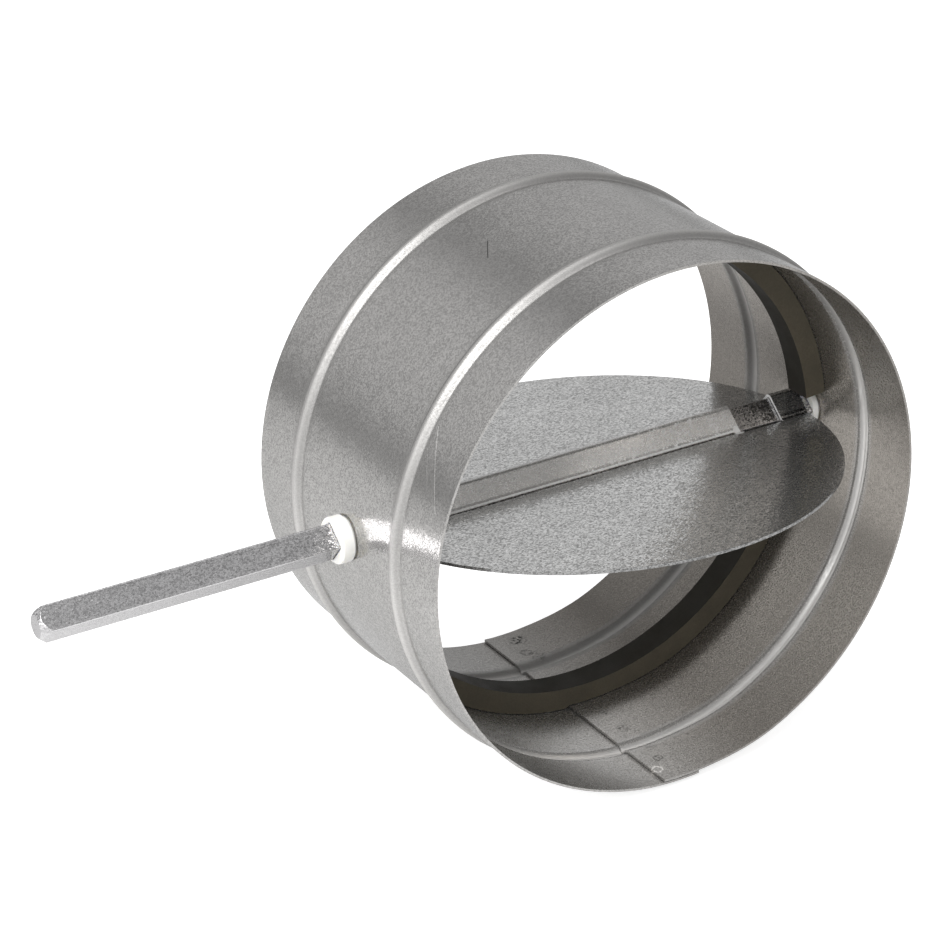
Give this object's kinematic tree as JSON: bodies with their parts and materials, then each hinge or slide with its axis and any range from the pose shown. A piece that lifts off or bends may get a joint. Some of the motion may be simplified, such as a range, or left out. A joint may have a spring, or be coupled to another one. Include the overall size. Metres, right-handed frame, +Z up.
{
  "type": "round duct damper",
  "caption": "Short beaded round duct section with a pressed disc blade on a square cross shaft, turning in plastic bushes against two half-ring seals.",
  "frame": {"origin": "middle of the duct, where the shaft's axis crosses the duct's own axis", "axes": "+X along the shaft, away from its free end; +Y along the duct, away from the open end that the picture shows; +Z up, with the shaft level and the blade nearly open"},
  "size_m": [0.2575, 0.1486, 0.162],
  "materials": {
    "casing_sheet": "galvanised sheet, satin, fine drawn streaks",
    "blade_sheet": "galvanised sheet, smooth, faint spangle",
    "plated_bar": "zinc plated bar, grainy satin",
    "bush_plastic": "natural nylon, smooth matt",
    "seal_strip": "dark foam rubber strip, matt"
  },
  "bodies": {
    "casing": {"casing": "casing_sheet", "upper_seal": "seal_strip", "lower_seal": "seal_strip"},
    "blade": {"blade": "blade_sheet", "shaft": "plated_bar", "near_bush": "bush_plastic", "far_bush": "bush_plastic"}
  },
  "joints": [
    {"name": "shaft_turn", "type": "hinge", "parent": "casing", "child": "blade", "pos_m": [0, 0, 0], "axis": [1, 0, 0], "range_deg": [-30, 94.2]}
  ]
}
